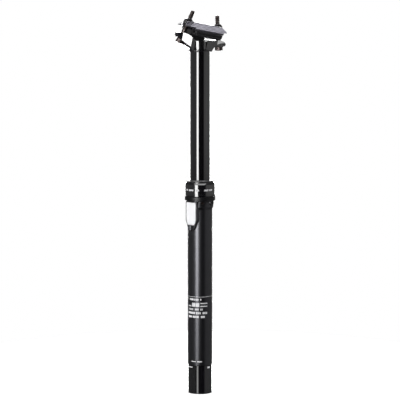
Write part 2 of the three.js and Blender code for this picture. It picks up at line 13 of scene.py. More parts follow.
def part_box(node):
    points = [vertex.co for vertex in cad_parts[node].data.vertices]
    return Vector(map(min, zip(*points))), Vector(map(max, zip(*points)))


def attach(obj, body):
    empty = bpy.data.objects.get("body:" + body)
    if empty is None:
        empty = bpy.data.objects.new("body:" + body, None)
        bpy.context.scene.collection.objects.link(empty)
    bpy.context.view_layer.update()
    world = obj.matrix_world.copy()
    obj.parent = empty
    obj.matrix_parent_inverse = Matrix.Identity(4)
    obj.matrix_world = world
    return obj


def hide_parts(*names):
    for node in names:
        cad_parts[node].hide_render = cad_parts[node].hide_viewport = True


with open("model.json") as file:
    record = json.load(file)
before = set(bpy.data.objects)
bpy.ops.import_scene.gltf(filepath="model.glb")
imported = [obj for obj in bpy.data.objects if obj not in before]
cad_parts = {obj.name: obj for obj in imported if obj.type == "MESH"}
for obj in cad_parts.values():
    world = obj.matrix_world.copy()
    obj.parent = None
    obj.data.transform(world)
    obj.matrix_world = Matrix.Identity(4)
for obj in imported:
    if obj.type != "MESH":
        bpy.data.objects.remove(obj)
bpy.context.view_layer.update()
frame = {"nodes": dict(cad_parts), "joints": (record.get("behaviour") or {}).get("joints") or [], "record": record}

# ---------------------------------------------------------------- sizes and places

MM = 0.001
FINE = 160  # sides of the large round pieces
SMALL = 64  # sides of screws, pins and holes

joints = {joint["name"]: joint for joint in frame["joints"]}
mounts = {mount["name"]: mount for mount in frame["record"]["mounts"]}


def in_mm(point):
    return Vector(point) / MM


def node_box(node):
    low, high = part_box(node)
    return low / MM, high / MM


def node_top(node):
    return node_box(node)[1].z


def node_bottom(node):
    return node_box(node)[0].z


# The post's tubes, measured from its lower end.
TUBE_RADIUS = 15.8
BORE_RADIUS = 13.8
NECK_RADIUS = 17.2
FLANGE_RADIUS = 19.5
FLANGE_BOTTOM = 251
FLANGE_TOP = 256.2
FOOT_RADIUS = 15.6
COLLAR_RADIUS = 19.3
MAST_RADIUS = 12.7
MAST_BORE = 10.7
HEAD_BOTTOM = 442
RING_BOTTOM = HEAD_BOTTOM - 0.25  # of the ring round the neck, which hides the mast's top edge
RING_RADIUS = 14.5
NECK_OUTER = 13
NECK_INNER = 10.4
NECK_TOP = 455.5
BLOCK_FRONT = 18.9
INLET_OUT = 17.2
INLET_ACROSS = -1.5
LOCK_SCREW_ANGLES = (48.8, 98)
LOCK_SCREW_HEIGHT = 248.6
LOCK_SCREW_RADIUS = 2.05
MARK_FACING = -108  # degrees from +X to the middle of the marked side
MARK_THICKNESS = 0.03
COLLAR_STEP = 0.12  # how far the collar's marked side lies below its lower rim

# The saddle clamp's frame: u along the rails, w square to them, measured from the head's own origin.
CRADLE_CENTRE = 29.6
CRADLE_RADIUS = 27
RAIL_HEIGHT = 15.7
RAIL_RADIUS = 3.6
RAIL_SPACING = 44
KEEL_END = 3
KEEL_HALF = 8
KEEL_TOP = 10.5
CLAMP_SPLIT = 15.9
CLAMP_HALF_LENGTH = 24.2
FLANGE_HALF = 29
LOWER_CLAMP_FRONT = 19
LOWER_CLAMP_REAR = -17.5
BOLT_RADIUS = 2.95
BOLT_HEAD_RADIUS = 5
BOLT_HEAD_TOP = 1.5  # along the bolt, from the origin of its frame
BOLT_HEAD_BOTTOM = -3.5
BOLT_LENGTH = 41
WASHER_CENTRE = 3.2
WASHER_RADIUS = 4.2
WASHER_LENGTH = 8.8
NUT_RADIUS = 5
NUT_LENGTH = 12
NUT_HALF = 4.4
GAP = 0.3
SPLIT_GAP = 0.04  # half the gap between the clamp's tightened halves
THREAD_PITCH = 1
THREAD_DEPTH = 0.5
THREAD_START = 14
KNURLS = 40
FLANGE_GROOVES = 4
FLANGE_GROOVE_RADIUS = 0.62
BEYOND = 40  # past every surface of the head and clamp

rail_normal = Vector(mounts["right_rail_groove"]["axis"]).normalized()
rail_forward = Vector((rail_normal.z, 0, -rail_normal.x))
cradle_axis = in_mm(joints["clamp_tilt"]["pos_m"])
head_origin = cradle_axis - CRADLE_CENTRE * rail_normal
HEAD_FRAME = Matrix((
    (rail_forward.x, 0, rail_normal.x, head_origin.x),
    (0, 1, 0, 0),
    (rail_forward.z, 0, rail_normal.z, head_origin.z),
    (0, 0, 0, 1),
))

# The actuator's frame: x points out of the cover, y runs across it.
cover_out = Vector(joints["spool_turn"]["axis"]).normalized()
ACTUATOR_FRAME = Matrix((
    (cover_out.x, -cover_out.y, 0, 0),
    (cover_out.y, cover_out.x, 0, 0),
    (0, 0, 1, 0),
    (0, 0, 0, 1),
))

FLOOR_RADIUS = 450  # small, so that no horizon shows
CAMERA_AZIMUTH = math.radians(-18)
CAMERA_ELEVATION = math.radians(7)
CAMERA_DISTANCE = 3.164
CAMERA_LENS = 221.7
CAMERA_AIM = Vector((0, 0, 0.2507))


def toward(azimuth, elevation):
    """The direction from the object to something at that azimuth and elevation, in radians."""
    return Vector((
        math.sin(azimuth) * math.cos(elevation),
        -math.cos(azimuth) * math.cos(elevation),
        math.sin(elevation),
    ))


# ---------------------------------------------------------------- camera


def add_camera():
    camera = bpy.data.objects.new("camera", bpy.data.cameras.new("camera"))
    bpy.context.scene.collection.objects.link(camera)
    back = toward(CAMERA_AZIMUTH, CAMERA_ELEVATION)
    camera.location = CAMERA_AIM + CAMERA_DISTANCE * back
    camera.rotation_euler = back.to_track_quat("Z", "Y").to_euler()
    camera.data.lens = CAMERA_LENS
    camera.data.sensor_width = 36
    bpy.context.scene.camera = camera


add_camera()

# ---------------------------------------------------------------- outlines


def arc(centre, radius, start, end, count):
    """Points on an arc, both ends included. Angles are in degrees."""
    angles = [math.radians(start + (end - start) * i / count) for i in range(count + 1)]
    return [(centre[0] + radius * math.cos(a), centre[1] + radius * math.sin(a)) for a in angles]


def mirrored(points):
    return [(-x, y) for x, y in reversed(points)]


def rounded(points, radius, steps=4):
    """The closed outline with each corner turned into a curve of about that radius."""
    curved = []
    for i, corner in enumerate(points):
        here = Vector(corner)
        before = Vector(points[i - 1]) - here
        after = Vector(points[(i + 1) % len(points)]) - here
        turn = math.pi - before.angle(after, math.pi)
        reach = min(radius * math.tan(turn / 2), 0.45 * before.length, 0.45 * after.length)
        if turn < 0.05 or reach < 0.01:
            curved.append(tuple(here))
            continue
        start = here + before.normalized() * reach
        end = here + after.normalized() * reach
        for k in range(steps + 1):
            t = k / steps
            curved.append(tuple((1 - t) ** 2 * start + 2 * t * (1 - t) * here + t * t * end))
    return curved


# ---------------------------------------------------------------- solids


def new_object(name, vertices, faces):
    mesh = bpy.data.meshes.new(name)
    mesh.from_pydata(vertices, [], faces)
    mesh.validate()
    made = bpy.data.objects.new(name, mesh)
    bpy.context.scene.collection.objects.link(made)
    return made


def lathe(name, profile, sides=FINE):
    """A closed profile of (radius, z) points turned about Z, off the axis all the way round."""
    area = sum(
        profile[i - 1][0] * profile[i][1] - profile[i][0] * profile[i - 1][1]
        for i in range(len(profile))
    )
    points = profile if area > 0 else list(reversed(profile))
    count = len(points)
    vertices = []
    for k in range(sides):
        angle = 2 * math.pi * k / sides
        vertices += [(r * math.cos(angle), r * math.sin(angle), z) for r, z in points]
    faces = []
    for k in range(sides):
        here = k * count
        there = ((k + 1) % sides) * count
        for i in range(count):
            j = (i + 1) % count
            faces.append((here + i, there + i, there + j, here + j))
    return new_object(name, vertices, faces)


def stacked(name, rings):
    """A solid from rings of as many points each, one above the other, with a flat disc at each end."""
    sides = len(rings[0])
    vertices = [point for ring in rings for point in ring]
    faces = [tuple(reversed(range(sides)))]
    for row in range(len(rings) - 1):
        for k in range(sides):
            a = row * sides + k
            b = row * sides + (k + 1) % sides
            faces.append((a, b, b + sides, a + sides))
    last = (len(rings) - 1) * sides
    faces.append(tuple(range(last, last + sides)))
    return new_object(name, vertices, faces)


def shaft(name, levels, radius, sides):
    """A solid about Z whose radius is radius(z, angle)."""
    angles = [2 * math.pi * k / sides for k in range(sides)]
    rings = []
    for z in levels:
        radii = [radius(z, angle) for angle in angles]
        rings.append([(r * math.cos(a), r * math.sin(a), z) for r, a in zip(radii, angles)])
    return stacked(name, rings)


def turned_shaft(name, profile, sides=SMALL):
    """A solid about Z from (radius, z) points that go up its outside."""
    angles = [2 * math.pi * k / sides for k in range(sides)]
    return stacked(name, [[(r * math.cos(a), r * math.sin(a), z) for a in angles] for r, z in profile])


def prism(name, outline, low, high, axis="Z"):
    """A closed outline extruded from low to high.

    Along X the outline holds (y, z) points, along Y (x, z) and along Z (x, y).
    """
    place = {
        "X": lambda a, b, depth: (depth, a, b),
        "Y": lambda a, b, depth: (a, depth, b),
        "Z": lambda a, b, depth: (a, b, depth),
    }[axis]
    area = sum(
        outline[i - 1][0] * outline[i][1] - outline[i][0] * outline[i - 1][1]
        for i in range(len(outline))
    )
    facing = area > 0 if axis != "Y" else area < 0
    points = outline if facing else list(reversed(outline))
    count = len(points)
    vertices = [place(a, b, low) for a, b in points] + [place(a, b, high) for a, b in points]
    faces = [tuple(reversed(range(count))), tuple(range(count, 2 * count))]
    for i in range(count):
        j = (i + 1) % count
        faces.append((i, j, count + j, count + i))
    return new_object(name, vertices, faces)


def block(name, low, high):
    (x0, y0, z0), (x1, y1, z1) = low, high
    return prism(name, [(x0, y0), (x1, y0), (x1, y1), (x0, y1)], z0, z1)


def rod_along(name, axis, radius, low, high, centre=(0, 0), sides=SMALL):
    """A round rod along X, Y or Z. Its centre is given by the other two coordinates."""
    outline = [
        (centre[0] + radius * math.cos(2 * math.pi * k / sides),
         centre[1] + radius * math.sin(2 * math.pi * k / sides))
        for k in range(sides)
    ]
    return prism(name, outline, low, high, axis)


def moved(obj, matrix):
    obj.data.transform(matrix)
    return obj


def turned(obj, degrees):
    return moved(obj, Matrix.Rotation(math.radians(degrees), 4, "Z"))


# ---------------------------------------------------------------- mesh work


def apply_modifiers(obj):
    depsgraph = bpy.context.evaluated_depsgraph_get()
    mesh = bpy.data.meshes.new_from_object(obj.evaluated_get(depsgraph))
    obj.modifiers.clear()
    obj.data = mesh
    return obj


def combine(base, tools, operation):
    for tool in tools:
        modifier = base.modifiers.new("combine", "BOOLEAN")
        modifier.operation = operation
        modifier.solver = "EXACT"
        modifier.object = tool
    apply_modifiers(base)
    for tool in tools:
        bpy.data.objects.remove(tool)
    return base


def joined(base, *tools):
    return combine(base, tools, "UNION")


def cut(base, *tools):
    return combine(base, tools, "DIFFERENCE")


def bevelled(obj, width, segments=3, angle=35):
    modifier = obj.modifiers.new("bevel", "BEVEL")
    modifier.width = width
    modifier.segments = segments
    modifier.limit_method = "ANGLE"
    modifier.angle_limit = math.radians(angle)
    return apply_modifiers(obj)


def flat_shaded(obj):
    """Keeps flat faces flat beside their bevels by weighting the normals with the faces' areas."""
    modifier = obj.modifiers.new("normals", "WEIGHTED_NORMAL")
    modifier.keep_sharp = True
    modifier.weight = 100
    return apply_modifiers(obj)


def place(obj, body, slot, material, *nodes, crease=38, faceted=False):
    """Scales a piece to metres, gives it its finish and fixes it to its body."""
    obj.data.transform(Matrix.Scale(MM, 4))
    obj.data.shade_smooth()
    obj.data.set_sharp_from_angle(angle=math.radians(crease))
    if faceted:
        flat_shaded(obj)
    obj.data.materials.clear()
    obj.data.materials.append(material)
    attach(obj, body)
    if nodes:
        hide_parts(*nodes)
    return obj


# ---------------------------------------------------------------- materials


def new_material(name):
    made = bpy.data.materials.new(name)
    made.use_nodes = True
    shader = made.node_tree.nodes["Principled BSDF"]
    return made, made.node_tree, shader


def noise(tree, scale, detail=4, stretch=(1, 1, 1)):
    """Noise in the object's own space. scale is in features to a metre, before stretching."""
    coordinates = tree.nodes.new("ShaderNodeTexCoord")
    mapping = tree.nodes.new("ShaderNodeMapping")
    mapping.inputs["Scale"].default_value = stretch
    texture = tree.nodes.new("ShaderNodeTexNoise")
    texture.inputs["Scale"].default_value = scale
    texture.inputs["Detail"].default_value = detail
    tree.links.new(coordinates.outputs["Object"], mapping.inputs["Vector"])
    tree.links.new(mapping.outputs["Vector"], texture.inputs["Vector"])
    return texture.outputs["Fac"]


def ramp(tree, factor, stops):
    """A colour ramp. Each stop is (position, colour), where a colour is a grey level or three numbers."""
    node = tree.nodes.new("ShaderNodeValToRGB")
    elements = node.color_ramp.elements
    while len(elements) < len(stops):
        elements.new(0.5)
    for element, (position, colour) in zip(elements, stops):
        rgb = (colour,) * 3 if isinstance(colour, (int, float)) else colour
        element.position = position
        element.color = (*rgb, 1)
    tree.links.new(factor, node.inputs["Fac"])
    return node.outputs["Color"]


def add_bump(tree, shader, height, distance, strength=1.0):
    node = tree.nodes.new("ShaderNodeBump")
    node.inputs["Distance"].default_value = distance
    node.inputs["Strength"].default_value = strength
    tree.links.new(height, node.inputs["Height"])
    tree.links.new(node.outputs["Normal"], shader.inputs["Normal"])


def finish(name, tones, roughness, metallic=0.0, patch=60, grain=2500, stretch=(1, 1, 1), relief=0.0,
           relief_strength=0.4, specular=0.5, tint=(1, 1, 1)):
    """A surface whose colour drifts between tones in soft patches and whose roughness has a fine grain."""
    made, tree, shader = new_material(name)
    shader.inputs["Metallic"].default_value = metallic
    shader.inputs["Specular IOR Level"].default_value = specular
    shader.inputs["Specular Tint"].default_value = (*tint, 1)
    colour = ramp(tree, noise(tree, patch, 5, stretch), [(0.3, tones[0]), (0.7, tones[1])])
    tree.links.new(colour, shader.inputs["Base Color"])
    fine = noise(tree, grain, 3, stretch)
    dull = ramp(tree, fine, [(0.3, roughness[0]), (0.7, roughness[1])])
    tree.links.new(dull, shader.inputs["Roughness"])
    if relief:
        add_bump(tree, shader, fine, relief, relief_strength)
    return made


GLOSS_BLACK = finish("gloss_black_anodising", ((0.0025, 0.0024, 0.003), (0.0035, 0.0033, 0.0045)),
                     (0.04, 0.07), patch=40, grain=900, stretch=(1, 1, 0.2))
COLLAR_BLACK = finish("collar_black_anodising", ((0.003, 0.003, 0.004), (0.005, 0.0048, 0.006)),
                      (0.06, 0.11), patch=90, grain=1600, stretch=(0.3, 0.3, 3))
SATIN_BLACK = finish("satin_black_anodising", ((0.0015, 0.0014, 0.002), (0.003, 0.0028, 0.0042)),
                     (0.27, 0.35), patch=70, grain=4200, relief=0.00002, relief_strength=0.25,
                     tint=(0.93, 0.93, 1))
BAND_BLACK = finish("flange_black_anodising", ((0.002, 0.0019, 0.0024), (0.0035, 0.0033, 0.0045)),
                    (0.34, 0.42), patch=70, grain=4200, relief=0.00002, relief_strength=0.2, specular=0.16)
HEAD_BLACK = finish("head_black_anodising", ((0.006, 0.006, 0.007), (0.012, 0.011, 0.014)),
                    (0.1, 0.17), patch=120, grain=2600, relief=0.00002, relief_strength=0.15, specular=0.8)
CLAMP_GREY = finish("clamp_grey_anodising", ((0.095, 0.092, 0.108), (0.15, 0.146, 0.168)),
                    (0.28, 0.4), metallic=0.75, patch=160, grain=3600, relief=0.00003, relief_strength=0.3)
CLAMP_BLACK = finish("clamp_black_anodising", ((0.007, 0.007, 0.008), (0.013, 0.012, 0.014)),
                     (0.3, 0.42), patch=140, grain=3600, relief=0.00003, relief_strength=0.3,
                     specular=0.35)
NUT_BLACK = finish("black_nut", ((0.006, 0.005, 0.006), (0.012, 0.01, 0.012)),
                   (0.2, 0.32), patch=500, grain=5000, relief=0.00002)
BOLT_BLACK = finish("black_oxide_steel", ((0.02, 0.015, 0.014), (0.05, 0.036, 0.034)),
                    (0.22, 0.4), metallic=0.6, patch=500, grain=5000, relief=0.00002)
STEEL = finish("ground_steel", ((0.42, 0.42, 0.44), (0.55, 0.55, 0.57)),
               (0.2, 0.36), metallic=1.0, patch=120, grain=3000, stretch=(1, 1, 0.1))
ALLOY = finish("machined_alloy", ((0.5, 0.51, 0.53), (0.64, 0.65, 0.67)),
               (0.22, 0.4), metallic=1.0, patch=150, grain=2500, stretch=(0.1, 0.1, 6))
PLATE = finish("brushed_cover", ((0.86, 0.86, 0.88), (0.94, 0.94, 0.96)),
               (0.3, 0.45), metallic=0.0, patch=200, grain=1400, stretch=(6, 6, 0.12),
               relief=0.00001, relief_strength=0.3)
BRASS = finish("machined_brass", ((0.5, 0.36, 0.14), (0.66, 0.5, 0.22)),
               (0.25, 0.4), metallic=1.0, patch=200, grain=2500)
POLYMER = finish("moulded_polymer", ((0.03, 0.032, 0.036), (0.05, 0.053, 0.058)),
                 (0.45, 0.6), patch=200, grain=3500, relief=0.00004)
RUBBER = finish("wiper_rubber", ((0.008, 0.008, 0.009), (0.016, 0.015, 0.017)),
                (0.3, 0.46), patch=200, grain=3000, relief=0.00004)
CORD = finish("stranded_steel", ((0.32, 0.32, 0.33), (0.5, 0.5, 0.52)),
              (0.3, 0.5), metallic=1.0, patch=4000, grain=6000, relief=0.00005)
MARKING = finish("laser_marking", ((0.5, 0.5, 0.51), (0.66, 0.66, 0.68)),
                 (0.5, 0.65), patch=900, grain=5000, relief=0.00001)

# ---------------------------------------------------------------- outer tube

BLOCK_OUTLINE = [
    (8.9, 251.4), (-8.9, 251.4), (-8.9, 226), (-7.4, 222), (-5.8, 217), (-4, 213.6),
    (4, 213.6), (5.8, 217), (7.4, 222), (8.9, 226),
]
COVER_OUTLINE = [
    (7.4, 249.2), (-7.4, 249.2), (-7.4, 226.5), (-6.2, 222.2), (-5, 220.2),
    (5, 220.2), (6.2, 222.2), (7.4, 226.5),
]


def outer_tube():
    bottom = node_bottom("outer_tube")
    body = lathe("outer_tube_body", rounded([
        (BORE_RADIUS, bottom), (TUBE_RADIUS - 0.4, bottom), (TUBE_RADIUS, bottom + 0.4),
        (TUBE_RADIUS, 239.5), (NECK_RADIUS, 243), (NECK_RADIUS, FLANGE_BOTTOM - 1.4),
        (FLANGE_RADIUS, FLANGE_BOTTOM), (FLANGE_RADIUS, FLANGE_TOP), (16.7, FLANGE_TOP),
        (16.7, 267), (BORE_RADIUS, 267),
    ], 0.5))
    housing = bevelled(prism("housing", rounded(BLOCK_OUTLINE, 3), 9, BLOCK_FRONT, "X"), 1.1, 4)
    inlet = turned_shaft("inlet", [(2.6, 213), (3.4, 213.8), (3.4, 222)])
    moved(inlet, Matrix.Translation((INLET_OUT, INLET_ACROSS, 0)))
    bosses = []
    for angle in LOCK_SCREW_ANGLES:
        boss = rod_along("boss", "X", 4.4, 10, 18, (0, LOCK_SCREW_HEIGHT))
        bosses.append(turned(bevelled(boss, 0.5), angle))
    joined(body, housing, inlet, *bosses)
    recess = prism("recess", rounded([
        (y + math.copysign(0.2, y), z + (0.2 if z > 235 else -0.2)) for y, z in COVER_OUTLINE
    ], 1.3), BLOCK_FRONT - 1.3, BLOCK_FRONT + 2, "X")
    cable_bore = rod_along("cable_bore", "Z", 2.45, 212.8, 219.2, (INLET_OUT, INLET_ACROSS))
    tools = [recess, cable_bore]
    for angle in LOCK_SCREW_ANGLES:
        tools.append(turned(rod_along("hole", "X", 2.3, 14.6, 19, (0, LOCK_SCREW_HEIGHT)), angle))
    return moved(cut(body, *tools), ACTUATOR_FRAME)


def flange_band():
    """The plain band round the tube's flange, between the actuator and the collar."""
    return lathe("flange_band", rounded([
        (FLANGE_RADIUS - 0.6, FLANGE_BOTTOM + 0.1), (FLANGE_RADIUS + 0.06, FLANGE_BOTTOM + 0.5),
        (FLANGE_RADIUS + 0.06, FLANGE_TOP - 0.1), (FLANGE_RADIUS - 0.6, FLANGE_TOP - 0.1),
    ], 0.2))


def lock_screws():
    for i, angle in enumerate(LOCK_SCREW_ANGLES, start=1):
        centre = (0, LOCK_SCREW_HEIGHT)
        screw = rod_along(f"lock_screw_{i}_finished", "X", LOCK_SCREW_RADIUS, 14.9, 17.5, centre)
        socket = rod_along("socket", "X", 1.25, 16, 19, centre, sides=6)
        cut(bevelled(screw, 0.3), socket)
        moved(screw, ACTUATOR_FRAME @ Matrix.Rotation(math.radians(angle), 4, "Z"))
        place(screw, "post", "black_steel", BOLT_BLACK, f"lock_screw_{i}")


def cover():
    """The actuator's cover, with a plain pattern of shallow grooves."""
    plate = prism("cover_plate", rounded(COVER_OUTLINE, 1.2), BLOCK_FRONT - 0.9, BLOCK_FRONT, "X")
    bevelled(plate, 0.3, 3)
    grooves = []
    for across, low, high in ((-3.4, 225, 238), (0, 224, 233), (3.4, 225, 242), (0, 236, 246)):
        outline = [
            *arc((across, high), 0.28, 0, 180, 8),
            *arc((across, low), 0.28, 180, 360, 8),
        ]
        grooves.append(prism("groove", outline, BLOCK_FRONT - 0.2, BLOCK_FRONT + 1, "X"))
    return moved(cut(plate, *grooves), ACTUATOR_FRAME)


def cable_stop():
    stop = lathe("cable_stop_ferrule", rounded([
        (1.9, 212.8), (2.35, 212.8), (2.35, 219.9), (0.8, 219.9), (0.8, 218.9), (1.9, 218.9),
    ], 0.15), SMALL)
    return moved(stop, ACTUATOR_FRAME @ Matrix.Translation((INLET_OUT, INLET_ACROSS, 0)))


def collar():
    side = COLLAR_RADIUS - COLLAR_STEP
    return lathe("collar_finished", rounded([
        (17, 256.5), (18.9, 256.5), (COLLAR_RADIUS, 257), (COLLAR_RADIUS, 259.3), (side, 259.45),
        (side, 272), (17.7, 273.9), (17.3, 274.1), (17.3, 275), (14.6, 275), (14.6, 268.4),
        (17, 268.4),
    ], 0.25))


def wiper():
    return lathe("wiper_finished", rounded([
        (13.4, 270.4), (14.3, 270.4), (14.3, 275.2), (17.5, 275.2), (17.85, 275.6), (17.8, 276.2),
        (17.2, 276.6), (13.9, 276.7), (12.95, 277.5), (12.95, 276.4), (13.4, 275.4),
    ], 0.3))


def mast():
    bottom, top = node_bottom("mast_tube"), node_top("mast_tube")
    return lathe("mast_finished", rounded([
        (MAST_BORE, bottom), (12.4, bottom), (MAST_RADIUS, bottom + 0.5), (MAST_RADIUS, 200),
        (12.2, 200.1), (12.2, 217.9), (MAST_RADIUS, 218), (MAST_RADIUS, top), (MAST_BORE, top),
    ], 0.05))


# ---------------------------------------------------------------- markings


def curved_patches(name, radius, patches):
    """Thin raised marks on a cylinder. Each is (start, end, low, high), angles in degrees from +X."""
    vertices = []
    faces = []
    for start, end, low, high in patches:
        steps = max(2, math.ceil(abs(end - start) / 3))
        base = len(vertices)
        for k in range(steps + 1):
            angle = math.radians(start + (end - start) * k / steps)
            for r in (radius - MARK_THICKNESS, radius + MARK_THICKNESS):
                for z in (low, high):
                    vertices.append((r * math.cos(angle), r * math.sin(angle), z))
        for k in range(steps):
            a = base + 4 * k
            b = a + 4
            faces += [(a + 2, b + 2, b + 3, a + 3), (a, a + 1, b + 1, b), (a + 1, a + 3, b + 3, b + 1),
                      (a, b, b + 2, a + 2)]
        last = base + 4 * steps
        faces += [(base, base + 2, base + 3, base + 1), (last, last + 1, last + 3, last + 2)]
    return new_object(name, vertices, faces)


def bars(radius, low, high, spans):
    """Marks between x positions measured across the marked side, in millimetres."""

    def bearing(across):
        return MARK_FACING + math.degrees(math.asin(across / radius))

    return [(bearing(start), bearing(end), low, high) for start, end in spans]


def run_of_bars(start, end, width, space):
    """Short bars from start to end, with one left out after every third."""
    spans = []
    x = start
    i = 0
    while x + width <= end:
        if i % 4 != 3:
            spans.append((x, x + width))
        x += width + space
        i += 1
    return spans


def tube_markings():
    """An insertion line and rows of plain bars, in place of lettering."""
    radius = TUBE_RADIUS
    patches = [(0, 360, 126.8, 127.25)]
    patches += bars(radius, 122.4, 124.8, [(-13, -8.2), *run_of_bars(-7.4, 2.6, 1.5, 0.4)])
    patches += bars(radius, 114.2, 119.2, [(-10.2, -5.8), (-5.3, -0.9)])
    patches += bars(radius, 114.2, 115.4, [(-14.6, -11), (0.4, 9.4)])
    patches += bars(radius, 118, 119.2, [(0.4, 9.4)])
    patches += bars(radius, 109.6, 111.9, run_of_bars(-13.6, 4.2, 1.3, 0.45))
    patches += bars(radius, 104.7, 107.4, [(-14.6, -6.2), *run_of_bars(-5, 12.2, 1.6, 0.5)])
    patches += bars(radius, 99.8, 102.3, [(-14.3, -10.4), *run_of_bars(-9.4, 7.4, 2.4, 0.25)])
    patches += bars(radius, 42, 43.1, [(-11, -5.4), (-3.4, 2.6)])
    return curved_patches("tube_markings", radius, patches)


def foot_markings():
    patches = bars(FOOT_RADIUS, 34.3, 35.5, [(-15, -9.6)])
    patches += bars(FOOT_RADIUS, 33.4, 35.4, [(9.4, 12.4)])
    return curved_patches("foot_markings", FOOT_RADIUS, patches)


def collar_markings():
    radius = COLLAR_RADIUS - COLLAR_STEP
    spans = [(-17.2, -15.4), (-14.2, -8.6), (-5, -1.2), (5.2, 10.6), (11.6, 15.4)]
    return curved_patches("collar_markings", radius, bars(radius, 264, 266.2, spans))


# ---------------------------------------------------------------- saddle head


def cradle_angle(u, radius):
    return 270 + math.degrees(math.asin(u / radius))


def head_side():
    """The head's arms seen from the side, as (u, w) points."""
    radius = CRADLE_RADIUS + GAP
    return rounded([
        *arc((0, CRADLE_CENTRE), radius, cradle_angle(-17, radius), cradle_angle(1, radius), 24),
        (3.4, 5.2), (8, 6.4), (14, 7.7), (19.9, 8.5), (22, 9.1), (25.5, 9.6), (31.4, 8.6), (33.5, 5.7),
        (32.9, 3.4), (30, 1.6), (21, 0.9), (17.6, -0.6), (16, -3.4), (14.8, -7), (12.5, -11),
        (-8.5, -11), (-11.5, -9.2), (-26, -1.4), (-31, 2),
        (-34, 4.2), (-34.8, 6.2), (-32.4, 9.4), (-25.5, 10.4), (-20.5, 9.6),
    ], 1.5)


def head_plan():
    """The head's arms seen from above. The rear arm's sides are flat and stand off the neck."""
    near = [
        (34.8, -4.6), (27, -6.1), (13.5, -10.8), (6, -12.7), (-8.8, -9.8), (-14.4, -12.2),
        (-25.6, -5.3), (-34.8, -4.6),
    ]
    return rounded(near + [(x, -y) for x, y in reversed(near)], 0.8)


def bolt_frame(side):
    """The frame of a clamp bolt, from the middle of its head along the bolt. side is 1 at the front."""
    end = "front" if side > 0 else "rear"
    seat = in_mm(joints[f"{end}_bolt_swing"]["pos_m"])
    nut = in_mm(joints[f"{end}_nut_turn"]["pos_m"])
    along = (nut - seat).normalized()
    across = Vector((0, 1, 0))
    out = across.cross(along)
    start = seat - WASHER_CENTRE * along
    return Matrix((
        (out.x, 0, along.x, start.x),
        (out.y, 1, along.y, start.y),
        (out.z, 0, along.z, start.z),
        (0, 0, 0, 1),
    ))


def lower_chamfer(side):
    """Takes off the lower edge of the rear arm on one side, in the head's frame."""
    outward = Vector((-0.63, side * 0.54, -0.56)).normalized()
    corner = Vector((-18.75, side * 9.5, -5.3))  # midway along that edge
    tool = block("chamfer", (-BEYOND, -BEYOND, 0), (BEYOND, BEYOND, 20))
    turn = outward.to_track_quat("Z", "Y").to_matrix().to_4x4()
    return moved(tool, Matrix.Translation(corner - 1.3 * outward) @ turn)


def head_neck():
    """The ring that sits on the mast and the neck above it."""
    return turned_shaft("neck", [
        (NECK_INNER, 430), (NECK_INNER, RING_BOTTOM), (RING_RADIUS - 0.6, RING_BOTTOM),
        (RING_RADIUS, HEAD_BOTTOM + 0.7), (RING_RADIUS, HEAD_BOTTOM + 1.6),
        (NECK_OUTER, HEAD_BOTTOM + 2.8), (NECK_OUTER, NECK_TOP),
    ], 128)


def bolt_room(side):
    """The slot, the washer's round seat and the room for the bolt's head in one arm."""
    half = WASHER_LENGTH / 2 + GAP
    tools = (
        block("slot", (-4.2, -3.4, -8), (4.2, 3.4, 20)),
        rod_along("seat", "Y", WASHER_RADIUS + GAP, -half, half, (0, WASHER_CENTRE)),
        block("room", (-6.4, -5.4, -12), (6.4, 5.4, BOLT_HEAD_TOP + GAP)),
    )
    return [moved(tool, bolt_frame(side)) for tool in tools]


def seat_head():
    arms = prism("seat_head_finished", head_side(), -20, 20, "Y")
    combine(arms, [prism("plan", head_plan(), -20, 20)], "INTERSECT")
    cut(arms, lower_chamfer(-1), lower_chamfer(1))
    moved(bevelled(arms, 0.8, 3, 40), HEAD_FRAME)
    joined(arms, head_neck())
    below = lathe("below", [
        (NECK_INNER, 425), (BEYOND, 425), (BEYOND, RING_BOTTOM), (NECK_INNER, RING_BOTTOM),
    ], 128)
    cradle = rod_along("cradle", "Y", CRADLE_RADIUS + GAP, -KEEL_HALF - GAP, KEEL_HALF + GAP,
                       (0, CRADLE_CENTRE), 192)
    tools = [below, moved(cradle, HEAD_FRAME)]
    for side in (-1, 1):
        slope = [(side * 2.6, 10.6), (side * 9.2, 10.6), (side * 9.2, 2.4)]
        tools.append(moved(prism("slope", slope, 21, BEYOND, "X"), HEAD_FRAME))
    return cut(arms, *tools, *bolt_room(-1), *bolt_room(1))


def rail_channel(side):
    centre = (side * RAIL_SPACING / 2, RAIL_HEIGHT)
    return rod_along("channel", "X", RAIL_RADIUS, -BEYOND, BEYOND, centre)


def flange_grooves():
    """The grooves along the sloping sides of the upper clamp."""
    grooves = []
    for side in (-1, 1):
        for i in range(FLANGE_GROOVES):
            centre = (side * (28.15 - 1.45 * i), 19.75 + 1.71 * i)
            grooves.append(rod_along("groove", "X", FLANGE_GROOVE_RADIUS, -BEYOND, BEYOND, centre, 24))
    return grooves


def nut_ear(side):
    """The block over one barrel nut."""
    outline = rounded([
        (side * 10, 18.8), (side * 23.4, 18.8), (side * 24.4, 20), (side * 24.4, 23.8),
        (side * 23.4, 25.4), (side * 10, 26.3),
    ], 1)
    return bevelled(prism("ear", outline, -7.6, 7.6, "Y"), 0.5, 3, 50)


def nut_cuts(side):
    """The seat of one barrel nut, the fork its bolt passes through and a window in the clamp's roof."""
    end = "front" if side > 0 else "rear"
    nut = HEAD_FRAME.inverted() @ in_mm(joints[f"{end}_nut_turn"]["pos_m"])
    seat = NUT_LENGTH / 2 + 0.4
    fork = sorted((nut.x - side * 4.6, side * BEYOND))
    window = sorted((side * 3.4, side * 13.4))
    return [
        rod_along("nut_seat", "Y", NUT_RADIUS + GAP, -seat, seat, (nut.x, nut.z)),
        block("fork", (fork[0], -3.5, 10), (fork[1], 3.5, BEYOND)),
        block("window", (-9.5, window[0], 10), (9.5, window[1], BEYOND)),
    ]


